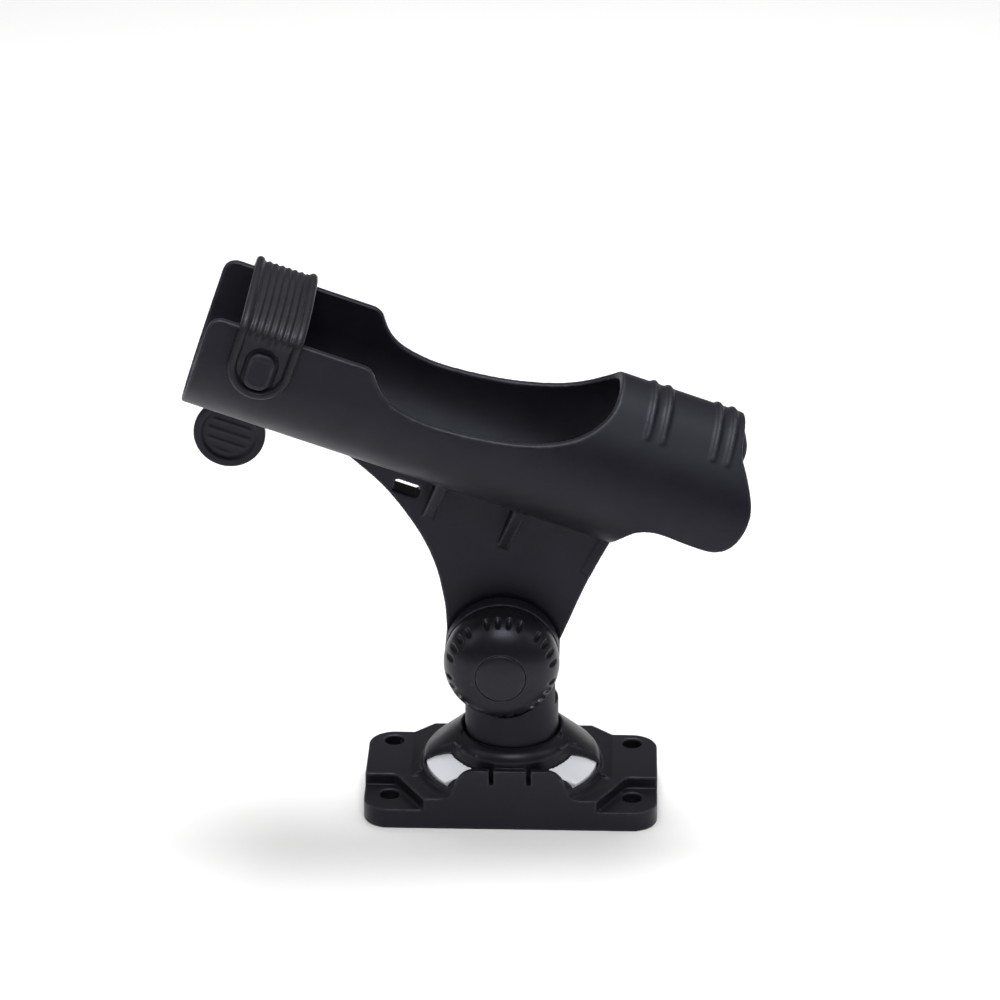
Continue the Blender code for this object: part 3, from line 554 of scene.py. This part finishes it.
def tube_mesh():
    """The tube as a closed wall: square-shouldered in front, round behind."""
    front, rear, around, along = -132.0, 62.0, 220, 66
    shape = bmesh.new()
    skins = []
    for radius in (TUBE_R, TUBE_R - TUBE_WALL):
        rings = []
        for j in range(along + 1):
            x = front + (rear - front) * j / along
            upper = 5.0 - 3.0 * smooth_share(x, -74.0, -6.0)
            ring = []
            for i in range(around):
                turn = 2 * math.pi * i / around
                c, s = math.cos(turn), math.sin(turn)
                power = upper if s > 0 else 2.0
                reach = radius / (abs(c) ** power + abs(s) ** power) ** (1 / power)
                ring.append(shape.verts.new((x, reach * c, AXIS_Z + reach * s)))
            rings.append(ring)
        for here, there in zip(rings, rings[1:]):
            for i in range(around):
                k = (i + 1) % around
                shape.faces.new((here[i], here[k], there[k], there[i]))
        skins.append(rings)
    for end in (0, -1):
        outer, inner = skins[0][end], skins[1][end]
        for i in range(around):
            k = (i + 1) % around
            shape.faces.new((outer[i], outer[k], inner[k], inner[i]))
    return scaled(shape)


def above_axis(points):
    """Points given from the tube's axis, in the arm's axes."""
    return [(x, z + AXIS_Z) for x, z in points]


def rib_mesh(x, width, height, half_deg):
    """A rib round the top of the tube with a round back and ends that run out."""
    shape = bmesh.new()
    rings = []
    steps = 60
    for i in range(steps + 1):
        f = 2 * i / steps - 1
        turn = math.radians(90 + half_deg * f)
        tall = height * min(1.0, math.sqrt(max(0.0, 1 - f**8)) + 0.02)
        ring = []
        for k in range(9):
            a = math.pi * k / 8
            r = TUBE_R + tall * math.sin(a)
            ring.append((x + width / 2 * math.cos(a), r * math.cos(turn), AXIS_Z + r * math.sin(turn)))
        for side in (-1, 1):
            r = TUBE_R - 1.2
            ring.append((x + side * width / 2, r * math.cos(turn), AXIS_Z + r * math.sin(turn)))
        rings.append([shape.verts.new(p) for p in ring])
    for here, there in zip(rings, rings[1:]):
        for k in range(11):
            n = (k + 1) % 11
            shape.faces.new((here[k], here[n], there[n], there[k]))
    shape.faces.new(rings[0])
    shape.faces.new(rings[-1])
    return scaled(shape)


def cradle_mesh():
    """The cradle: cut tube, blade, gussets, ribs and toothed hub."""
    wall_top, corner = 13.2, 4.5
    opening = [(-140.0, 60.0), (-140.0, wall_top - corner)]
    opening += arc((-132.0 + corner, wall_top - corner), corner, 180, 90, 10)
    opening += arc((-79.5, wall_top - 5.5), 5.5, 90, 28, 8)
    opening += through([
        (-72.6, 7.6), (-69.6, 4.9), (-64.1, 2.5), (-55.3, 1.1), (-47.0, 1.1), (-38.6, 1.8), (-30.0, 3.0),
        (-22.7, 4.5), (-16.0, 6.5), (-9.9, 9.0), (-4.0, 12.6), (1.0, 17.4), (4.2, 22.4), (5.2, 28.0),
    ], 6)
    opening += [(5.2, 60.0)]
    rear = [(49.5, 60.0)]
    rear += through([
        (49.0, 28.0), (49.0, 24.0), (50.0, 20.8), (53.0, 16.7), (56.0, 11.8), (57.8, 7.4), (58.3, 2.6),
        (57.6, -2.6), (55.8, -7.2), (52.6, -10.4), (48.0, -11.6), (40.0, -11.4), (33.0, -10.9),
        (28.0, -11.9), (24.4, -14.4), (22.0, -18.6), (20.6, -23.0), (20.0, -30.0),
    ], 6)
    rear += [(20.0, -40.0), (90.0, -40.0), (90.0, 60.0)]
    left = through([
        (-74.0, 50.6), (-67.6, 48.0), (-59.4, 44.3), (-52.6, 40.2), (-46.2, 35.6), (-40.6, 31.0),
        (-35.2, 25.6), (-30.4, 19.5), (-26.6, 13.3), (-23.2, 7.0), (-19.4, -2.3),
    ], 5)
    right = through([(17.6, 8.9), (18.1, 18.9), (18.5, 27.5), (19.0, 33.9), (19.9, 42.0), (21.4, 52.5)], 5)
    blade = plate(left + [(0.0, -15.0)] + right, -4.5, 4.5, "Y")
    edge = [point for point in right if point[1] > 34.0]
    strip = edge + [(x - 3.6, z) for x, z in reversed(edge[1:])]
    steps = [
        ("DIFFERENCE", plate(above_axis(opening), -40.0, 40.0, "Y")),
        ("DIFFERENCE", plate(above_axis(rear), -40.0, 40.0, "Y")),
        ("UNION", blade),
        ("UNION", plate(strip, -5.0, 5.0, "Y")),
    ]
    for x, low in ((-40.2, 37.0), (-12.6, 35.5)):
        for side in (-1, 1):
            points = ((3.5, low), (3.5, 52.6), (10.0, 54.2), (15.5, 57.0), (12.0, 50.0), (8.6, 43.5),
                (5.0, low + 0.6))
            steps.append(("UNION", plate([(side * y, z) for y, z in points], x - 2.0, x + 2.0, "X")))
    for x in (17.0, 22.2, 40.0, 45.2):
        steps.append(("UNION", rib_mesh(x, 2.0, 0.9, 50.0)))
    hexagon = arc((0, 0), 6.8 / math.cos(math.pi / 6), 0, 300, 5)
    hub = [
        (0.0, BOSS_BACK), (BOSS_R - 1.2, BOSS_BACK), (BOSS_R, BOSS_BACK - 1.2), (BOSS_R + 0.4, 5.2),
        (BOSS_R + 1.6, 4.6), (BOSS_R + 1.6, 0.0), (0, 0),
    ]
    steps += [
        ("UNION", rod(DISC_R, HUB_FRONT, HUB_BACK + 0.3, (0, 0), "Y", 200)),
        ("UNION", turned([(r, -y) for r, y in reversed(hub)], 160, "Y")),
        ("DIFFERENCE", rod(DISC_R + 0.6, -12.0, HUB_FRONT, (0, 0), "Y", 200)),
        ("UNION", teeth(HUB_FRONT - 0.1, HUB_FRONT + 1.0, HUB_FRONT - 0.6)),
        ("DIFFERENCE", plate(hexagon, 5.2, 20.0, "Y")),
        ("DIFFERENCE", rod(8.2, -10.0, HUB_FRONT + 2.6, (0, 0), "Y")),
        ("DIFFERENCE", rod(4.2, -10.0, 20.0, (0, 0), "Y")),
        ("DIFFERENCE", plate(rounded_box(4.6, 2.2, 1.0, (-50.4, 45.5)), -10.0, 10.0, "Y")),
        ("DIFFERENCE", rod(2.6, -40.0, 40.0, (STRAP_X, AXIS_Z + BUTTON_Z), "Y", 48)),
    ]
    return moulded(carve(tube_mesh(), *steps), 0.46, 6)


# Tilt hardware, in the arm's axes or on the pivot

KNOB_R, KNOB_DEPTH, KNOB_BACK = 19.8, 16.3, -12.9
KNOB_RIM, KNOB_FULLNESS = 1.4, 2.2


def dome_depth(radius):
    """How far the knob's dome stands in front of its back face at a radius."""
    rise = (1 - (radius / KNOB_R) ** KNOB_FULLNESS) ** (1 / KNOB_FULLNESS)
    return KNOB_RIM + (KNOB_DEPTH - KNOB_RIM) * rise


def knob_mesh():
    """The knob, with its seat for the disc and six groups of four dimples."""
    radii = [KNOB_R * math.sin(math.radians(90 - 1.9 * i)) for i in range(34)]
    outside = [(r, dome_depth(r)) for r in radii if r > 8.9]
    profile = [(6.3, 0.0), (KNOB_R - 1.0, 0.0), (KNOB_R - 0.2, 0.5), *outside]
    profile += [(8.62, dome_depth(8.62)), (8.62, 13.1), (4.2, 13.1), (4.2, 11.1), (6.3, 11.1)]
    steps = []
    lean = math.atan2(-8.05, 13.08)
    for group in range(6):
        for k in range(4):
            turn = math.radians(90 - 2.5 + 60 * group + 12.3 * (k - 1.5))
            shape = bmesh.new()
            bmesh.ops.create_uvsphere(shape, u_segments=20, v_segments=14, radius=1.0)
            size = Matrix.Diagonal((1.15, 1.05, 2.8, 1.0))
            place = Matrix.Rotation(turn, 4, "Z") @ Matrix.Translation((18.15, 0.0, 8.4))
            place = place @ Matrix.Rotation(lean, 4, "Y") @ size
            bmesh.ops.transform(shape, matrix=TO_Y @ place, verts=shape.verts)
            steps.append(("DIFFERENCE", scaled(shape)))
    return moulded(carve(turned(profile, 256, "Y", closed=True), *steps), 0.3, 3)


def cap_mesh():
    """The disc in the knob's face, domed with it."""
    top = dome_depth(8.5)
    profile = [(0.0, 13.4), (8.3, 13.4), (8.5, 13.6), (8.5, top - 0.2), (8.4, top - 0.06)]
    profile += [(r, dome_depth(r)) for r in (8.2, 7.0, 5.5, 4.0, 2.5, 1.0, 0.0)]
    return turned(profile, 128, "Y")


def washer_mesh():
    """The thrust washer."""
    profile = [(4.2, -0.35), (4.35, -0.5), (11.8, -0.5), (12.0, -0.3), (12.0, 0.3), (11.8, 0.5), (4.35, 0.5),
        (4.2, 0.35)]
    return turned(profile, 128, "Y", closed=True)


def bush_mesh():
    """The knob's threaded bush, ringed outside."""
    profile = [(4.1, 0.5), (4.4, 0.3), (5.7, 0.3), (6.0, 0.6)]
    for i in range(7):
        profile += [(6.0, 1.4 + i * 1.2), (5.7, 1.6 + i * 1.2), (5.7, 1.9 + i * 1.2), (6.0, 2.1 + i * 1.2)]
    profile += [(6.0, 9.8), (5.8, 10.0), (4.3, 10.0), (4.1, 9.8)]
    return turned(profile, 96, "Y", closed=True)


def bolt_mesh():
    """The tilt bolt: threaded shank and chamfered hex head."""
    thread = []
    for i in range(12):
        depth = 23.6 - i * 0.9
        thread += [(3.45, depth), (3.8, depth - 0.45)]
    shank = [(0.0, 24.0), (3.2, 24.0), *thread, (3.8, 12.5), (3.8, -5.4), (0.0, -5.4)]
    hexagon = arc((0, 0), 6.5 / math.cos(math.pi / 6), 0, 300, 5)
    crown = turned([(0.0, -4.9), (9.0, -4.9), (9.0, -9.4), (6.6, -10.5), (0.0, -10.5)], 96, "Y")
    head = carve(plate(hexagon, 5.5, 10.5, "Y"), ("INTERSECT", crown))
    return moulded(carve(turned(shank, 96, "Y"), ("UNION", head)), 0.2, 2)


def spring_mesh():
    """A coil of round wire round the bolt."""
    shape = bmesh.new()
    rings = []
    low, high = EAR_BACK - 2.6 + 0.85, HUB_FRONT + 2.6 - 0.85
    steps = 240
    for i in range(steps + 1):
        turn = 2 * math.pi * 3 * i / steps
        y = low + (high - low) * i / steps
        ring = []
        for k in range(12):
            a = 2 * math.pi * k / 12
            r = 6.4 + 0.55 * math.cos(a)
            ring.append(shape.verts.new((r * math.cos(turn), y + 0.55 * math.sin(a), r * math.sin(turn))))
        rings.append(ring)
    for here, there in zip(rings, rings[1:]):
        for k in range(12):
            n = (k + 1) % 12
            shape.faces.new((here[k], here[n], there[n], there[k]))
    shape.faces.new(rings[0])
    shape.faces.new(rings[-1])
    return scaled(shape)


def stud_mesh(side, base_y):
    """A stud on the tube's wall: a crowned head, a stem through the wall and a rivet inside it."""
    shape = bmesh.new()
    layers = [(0.90, 0.0), (1.0, 0.25), (1.0, 1.0), (0.985, 1.35), (0.94, 1.65), (0.86, 1.85), (0.72, 1.93),
        (0.66, 1.86), (0.5, 1.88), (0.25, 1.9)]
    if side > 0:
        layers = [(scale, depth * 2.05 if depth > 0.3 else depth) for scale, depth in layers]
    rings = []
    for scale, depth in layers:
        outline = rounded_box(4.4 * scale, 6.3 * scale, 3.5 * scale, (0, 0), 12)
        y = side * (base_y + depth)
        rings.append([shape.verts.new((STRAP_X + x, y, AXIS_Z + BUTTON_Z + z)) for x, z in outline])
    count = len(rings[0])
    for here, there in zip(rings, rings[1:]):
        for i in range(count):
            k = (i + 1) % count
            shape.faces.new((here[i], here[k], there[k], there[i]))
    shape.faces.new(rings[0])
    shape.faces.new(rings[-1])
    head = scaled(shape)
    inner = TUBE_R - TUBE_WALL
    middle = (STRAP_X, AXIS_Z + BUTTON_Z)
    stem = [(0.0, base_y + 0.3), (2.3, base_y + 0.3), (2.3, inner - 0.6), (0.0, inner - 0.6)]
    rivet = [(0.0, inner - 0.3), (3.6, inner - 0.3), (3.8, inner - 0.6), (3.5, inner - 1.2), (2.2, inner - 1.55),
        (0.0, inner - 1.6)]
    flip = -1 if side > 0 else 1
    turned_parts = [turned([(r, flip * y) for r, y in profile], 64, "Y", False, middle) for profile in (stem, rivet)]
    return joined(head, *turned_parts)


# Strap, in the arm's axes

STRAP_HALF = 10.8
INNER = TUBE_R + 0.3
LOOP_Z, TAB_Z, TAB_R, TAB_NECK = 2.2, -49.6, 12.5, 5.0
ARCH_FOOT, ARCH_INNER, ARCH_FULL = 12.8, 16.9, 2.3


def strap_path():
    """Stations along the strap: place on its inner side, outward direction, and half width there."""
    stations = []
    for i in range(41):
        turn = math.radians(88.5 * (1 - i / 40))
        stations.append((-INNER, LOOP_Z - STRAP_HALF * math.sin(turn), STRAP_HALF * math.cos(turn)))
    stations += [(-INNER, z, STRAP_HALF) for z in (2.4, 3.4, 4.4, 5.4, 6.4, 7.4, 8.4, 9.4, 10.4, 11.4)]
    for i in range(97):
        turn = math.pi * (1 - i / 96)
        across = math.copysign(abs(math.cos(turn)) ** (2 / ARCH_FULL), math.cos(turn))
        rise = (ARCH_INNER - ARCH_FOOT) * abs(math.sin(turn)) ** (2 / ARCH_FULL)
        pinch = 1.0 + 0.02 * math.sin(turn) ** 2
        stations.append((INNER * across, ARCH_FOOT + rise, STRAP_HALF * pinch))
    z = 12.2
    while z > -13.0:
        stations.append((INNER, z, STRAP_HALF - 1.4 * smooth_share(-z, -12.0, -6.0)))
        z -= 0.8
    neck = TAB_Z + math.sqrt(TAB_R**2 - TAB_NECK**2)
    while z > neck + 0.5:
        share = smooth_share(-z, 12.0, -neck - 1.0)
        stations.append((INNER, z, 9.4 + (TAB_NECK - 9.4) * share))
        z -= 0.8
    first = math.asin((neck - TAB_Z) / TAB_R)
    last = -math.radians(88.5)
    for i in range(61):
        turn = first + (last - first) * i / 60
        stations.append((INNER, TAB_Z + TAB_R * math.sin(turn), TAB_R * math.cos(turn)))
    return stations


def bead(distance, middle, half):
    """The height of a round bead at a distance from the edge."""
    f = (distance - middle) / half
    return math.sqrt(1 - f * f) if abs(f) < 1 else 0.0


def strap_heights(y, z, s, half):
    """How far the strap's outer and inner faces stand from its inner side at a place on it."""
    tab = math.hypot(s, z - TAB_Z)
    if y > 0 and z < TAB_Z + TAB_R + 4:
        thick, sunk = 2.8, 0.0
        if tab < TAB_R - 2.6:
            sunk = 0.75 * smooth_share(TAB_R - 2.6 - tab, 0.0, 1.0)
            line = math.cos((z - TAB_Z) * 2 * math.pi / 3.6)
            sunk -= 0.3 * max(0.0, line) ** 2 * smooth_share(TAB_R - 4.2 - tab, 0.0, 1.2)
        inset = min(1.0, max(0.0, (TAB_R - tab) / 0.9))
        edge = 0.7 * (1 - math.sqrt(max(0.0, 1 - (1 - inset) ** 2)))
        edge = edge if z < TAB_Z + TAB_R - 1.5 else 0.0
        return thick - sunk - edge, sunk + edge
    distance = half - abs(s)
    if y < 0 and z < LOOP_Z:
        distance = STRAP_HALF - math.hypot(s, z - LOOP_Z)
    thick = 1.45 + 1.5 * bead(distance, 1.5, 1.5)
    if distance > 3.0:
        crown = 1 - min(abs(y) / INNER, 1.0)
        share = 1.0
        if y < 0:
            share = smooth_share(z, 9.6 - 1.2 * math.cos(s * 0.5), 12.4)
        elif z < 14.0:
            share = smooth_share(z, 10.5, 14.0)
        wave = abs(math.sin(math.pi * (s - half) / 2.25))
        thick += 0.7 * share * wave * smooth_share(distance, 3.0, 3.5) + 0.15 * share * crown
    if y < 0 and z < 12.0:
        dx, dz = abs(s) - 1.0, abs(z - BUTTON_Z) - 3.0
        away = math.hypot(max(dx, 0.0), max(dz, 0.0))
        thick -= 0.4 * (1 - smooth_share(away, 4.1, 4.7))
    if y > 0 and z < 9.0:
        share = smooth_share(-z, 24.0, 31.0)
        thick = thick * (1 - share) + 2.7 * share
    return thick, 0.0


def strap_mesh():
    """The strap as one piece, with the free end's window and the hole for the near stud."""
    stations = strap_path()
    across = 96
    outer_rows, inner_rows = [], []
    shape = bmesh.new()
    count = len(stations)
    for i, (y, z, half) in enumerate(stations):
        before, after = stations[max(0, i - 1)], stations[min(count - 1, i + 1)]
        along = Vector((after[0] - before[0], after[1] - before[1])).normalized()
        out = Vector((-along.y, along.x))
        outer, inner = [], []
        for k in range(across + 1):
            f = math.sin(math.pi / 2 * (2 * k / across - 1) * 0.985) / math.sin(math.pi / 2 * 0.985)
            f = 0.55 * f + 0.45 * (2 * k / across - 1)
            s = half * f
            high, low = strap_heights(y, z, s, half)
            outer.append(shape.verts.new((STRAP_X + s, y + out.x * high, AXIS_Z + z + out.y * high)))
            inner.append(shape.verts.new((STRAP_X + s, y + out.x * low, AXIS_Z + z + out.y * low)))
        outer_rows.append(outer)
        inner_rows.append(inner)
    for rows in (outer_rows, inner_rows):
        for here, there in zip(rows, rows[1:]):
            for k in range(across):
                shape.faces.new((here[k], here[k + 1], there[k + 1], there[k]))
    for k in (0, across):
        for i in range(count - 1):
            shape.faces.new((outer_rows[i][k], outer_rows[i + 1][k], inner_rows[i + 1][k], inner_rows[i][k]))
    for i in (0, count - 1):
        for k in range(across):
            shape.faces.new((outer_rows[i][k], outer_rows[i][k + 1], inner_rows[i][k + 1], inner_rows[i][k]))
    sheet = scaled(shape)
    low, high = BUTTON_Z - 7.3, BUTTON_Z + 7.9
    window = rounded_box(5.2, (high - low) / 2, 4.6, (STRAP_X, AXIS_Z + (low + high) / 2))
    hole = plate(window, INNER - 2.0, INNER + 6.0, "Y")
    stem = rod(2.6, -INNER - 6.0, -INNER + 2.0, (STRAP_X, AXIS_Z + BUTTON_Z), "Y", 40)
    return moulded(carve(sheet, ("DIFFERENCE", hole), ("DIFFERENCE", stem)), 0.28, 2)


# Making the pieces

show("base_moulding", base_mesh(), WORLD, BASE_BLACK, "base", "moulded_black", "mount_base")
show("lock_ring_moulding", ring_mesh(), WORLD, PALE, "lock", "moulded_pale", "lock_ring")
show("cover_moulding", cover_mesh(), WORLD, BASE_BLACK, "base", "moulded_black", "ring_retainer")
for number, (x, y) in enumerate(COVER_SCREWS, 1):
    place = Matrix.Translation((x, y, 0.0)) @ Matrix.Rotation(0.4 * number, 4, "Z")
    show(f"cover_screw_{number}", screw_mesh(), place, STEEL, "base", "steel", f"retainer_screw_{number}")
show("post_moulding", post_mesh(), WORLD, BLACK, "upright", "moulded_black", "post")
show("cradle_moulding", cradle_mesh(), ARM, BLACK, "arm", "moulded_black", "rod_cradle")
ON_PIVOT = Matrix.Translation(PIVOT)
ON_KNOB = Matrix.Translation((0, KNOB_BACK, 0)) @ ON_PIVOT
UNDER_KNOB = Matrix.Translation((0, EAR_FRONT - 0.8, 0)) @ ON_PIVOT
show("knob_moulding", knob_mesh(), ON_KNOB, KNOB_BLACK, "knob", "moulded_black", "tilt_knob")
show("knob_disc", cap_mesh(), ON_KNOB, KNOB_BLACK, "knob", "moulded_black", "knob_cap")
show("knob_bush", bush_mesh(), ON_KNOB, BRASS, "knob", "brass", "knob_insert")
show("knob_washer", washer_mesh(), UNDER_KNOB, STEEL, "washer", "steel", "thrust_washer")
show("hex_bolt", bolt_mesh(), ARM, STEEL, "arm", "steel", "tilt_bolt")
show("coil_spring", spring_mesh(), ARM, STEEL, "arm", "steel", "tilt_spring")
show("near_stud", stud_mesh(-1, INNER + 1.5), ARM, BLACK, "arm", "moulded_black", "strap_button")
show("far_stud", stud_mesh(1, INNER - 0.3), ARM, BLACK, "arm", "moulded_black", "strap_hook")
strap = bpy.data.objects.new("strap", strap_mesh())
shown.objects.link(strap)
strap.data.transform(Matrix.Scale(MM, 4) @ ARM @ Matrix.Scale(1 / MM, 4))
strap.data.materials.clear()
strap.data.materials.append(RUBBER)
strap.data.shade_smooth()
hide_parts("strap_band", "strap_tail")
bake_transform(strap)
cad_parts["detent_spring"].data.materials.clear()
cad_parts["detent_spring"].data.materials.append(STEEL)
bpy.data.collections.remove(scratch)


# Floor, light and camera


def flat_material(name, colour, rough):
    """A plain matt material, for the floor."""
    made, _, shader = new_material(name)
    shader.inputs["Base Color"].default_value = (*colour, 1.0)
    shader.inputs["Roughness"].default_value = rough
    return made


floor_shape = bmesh.new()
bmesh.ops.create_grid(floor_shape, x_segments=2, y_segments=2, size=6.0)
floor_mesh = bpy.data.meshes.new("floor")
floor_shape.to_mesh(floor_mesh)
floor_shape.free()
floor = bpy.data.objects.new("floor", floor_mesh)
shown.objects.link(floor)
floor.data.materials.append(flat_material("paper", (0.93, 0.93, 0.925), 0.9))

sky = bpy.data.worlds.new("studio")
bpy.context.scene.world = sky
sky.use_nodes = True
tree = sky.node_tree
direction = tree.nodes.new("ShaderNodeTexCoord").outputs["Generated"]
split = tree.nodes.new("ShaderNodeSeparateXYZ")
tree.links.new(direction, split.inputs["Vector"])
heights = ramp(tree, split.outputs["Z"], [(0.0, 0.08), (0.35, 0.25), (0.8, 1.0)])
tree.links.new(heights, tree.nodes["Background"].inputs["Color"])
tree.nodes["Background"].inputs["Strength"].default_value = 0.52


LIGHT_AIM = Vector((0.0, 0.0, 0.1))


def softbox(name, place, size, power):
    """A soft rectangular light turned to the object."""
    light = bpy.data.lights.new(name, "AREA")
    light.shape = "RECTANGLE"
    light.size, light.size_y = size
    light.energy = power
    obj = bpy.data.objects.new(name, light)
    shown.objects.link(obj)
    obj.location = place
    obj.rotation_euler = (LIGHT_AIM - Vector(place)).to_track_quat("-Z", "Y").to_euler()


softbox("top", (0.05, 0.30, 1.4), (0.8, 0.5), 17.0)
softbox("front_high", (0.1, -0.9, 1.5), (0.9, 0.6), 12.0)
softbox("left", (-1.3, -0.5, 1.0), (0.6, 0.8), 2.6)
softbox("right", (1.3, -0.3, 1.0), (0.6, 0.8), 2.6)

camera_data = bpy.data.cameras.new("camera")
camera_data.sensor_width = 36.0
camera_data.lens = 137.1
camera = bpy.data.objects.new("camera", camera_data)
shown.objects.link(camera)
target = Vector((-4.11, 0.0, 114.18)) * MM
lift, swing, reach = math.radians(24.642), math.radians(1.784), 1.2922
out = Vector((math.sin(swing) * math.cos(lift), -math.cos(swing) * math.cos(lift), math.sin(lift)))
camera.location = target + out * reach
camera.rotation_euler = (-out).to_track_quat("-Z", "Y").to_euler()
bpy.context.scene.camera = camera
bpy.context.scene.view_settings.view_transform = "Standard"
